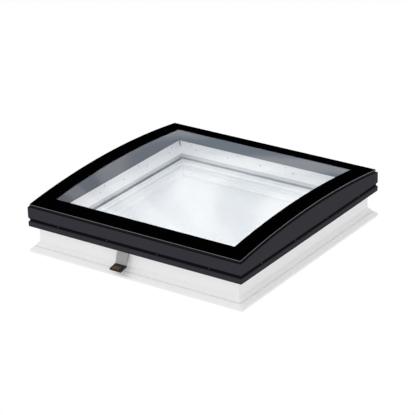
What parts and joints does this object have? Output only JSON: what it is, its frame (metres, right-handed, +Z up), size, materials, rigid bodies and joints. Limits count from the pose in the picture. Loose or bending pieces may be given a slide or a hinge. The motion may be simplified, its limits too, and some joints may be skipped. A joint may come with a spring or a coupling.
{
  "type": "roof skylight",
  "caption": "Opening flat-roof skylight: white base frame, hinged sash with a double-glazed unit, arched cover glass with a black border, dark side profiles and a rain sensor.",
  "frame": {"origin": "centre of the four fixing holes on the underside of the base flange, which is the centre of the plan", "axes": "+Z up from the roof through the glass, -Y towards the front that lifts and carries the rain sensor, +Y towards the hinges, +X to the right seen from the front"},
  "size_m": [1.016, 1.048, 0.24],
  "materials": {
    "white_pvc": "smooth satin",
    "black_rubber": "matte",
    "grey_gasket": "matte",
    "black_plastic": "fine grain",
    "copper_pad": "lacquered copper tracks",
    "spacer_metal": "ribbed",
    "clear_glass": "clear polished",
    "black_print": "fired enamel",
    "grey_skirt": "satin",
    "dark_cladding": "satin powder coat",
    "mill_aluminium": "extruded",
    "chain_steel": "oiled",
    "strip_steel": "brushed",
    "zinc_steel": "zinc plated",
    "black_steel": "blackened"
  },
  "bodies": {
    "frame": {"base_frame": "white_pvc", "frame_seal": "black_rubber", "drive_housing": "mill_aluminium", "drive_cap_left": "black_plastic", "drive_cap_right": "black_plastic", "drive_cover": "white_pvc", "drive_cover_screws": "zinc_steel", "drive_chain": "chain_steel", "sensor_strip": "strip_steel", "sensor_plate": "black_plastic", "sensor_pad": "copper_pad", "sensor_screws": "zinc_steel", "hinge_frame_leaf_left": "zinc_steel", "hinge_frame_leaf_right": "zinc_steel", "hinge_pin_left": "zinc_steel", "hinge_pin_right": "zinc_steel", "hinge_frame_screws": "zinc_steel"},
    "sash": {"sash_frame": "white_pvc", "glazing_gasket": "grey_gasket", "setting_blocks": "black_plastic", "inner_pane": "clear_glass", "spacer_bar": "spacer_metal", "edge_seal": "black_rubber", "outer_pane": "clear_glass", "bead_front": "white_pvc", "bead_right": "white_pvc", "bead_rear": "white_pvc", "bead_left": "white_pvc", "bead_screws": "black_steel", "trim_front": "white_pvc", "trim_right": "white_pvc", "trim_rear": "white_pvc", "trim_left": "white_pvc", "trim_screws": "black_steel", "skirt_front": "grey_skirt", "skirt_right": "grey_skirt", "skirt_rear": "grey_skirt", "skirt_left": "grey_skirt", "cladding_front": "dark_cladding", "cladding_right": "dark_cladding", "cladding_rear": "dark_cladding", "cladding_left": "dark_cladding", "cladding_screws": "black_steel", "corner_cleats": "zinc_steel", "bonding_seal": "black_rubber", "glass_border": "black_print", "cover_glass": "clear_glass", "hinge_sash_leaf_left": "zinc_steel", "hinge_sash_leaf_right": "zinc_steel", "hinge_sash_screws": "zinc_steel", "chain_bracket": "zinc_steel", "chain_head_pin": "zinc_steel"}
  },
  "joints": [
    {"name": "sash_hinge", "type": "hinge", "parent": "frame", "child": "sash", "pos_m": [0, 0.487, 0.097], "axis": [-1, 0, 0], "range_deg": [0, 10], "deforming": ["drive_chain"]}
  ]
}
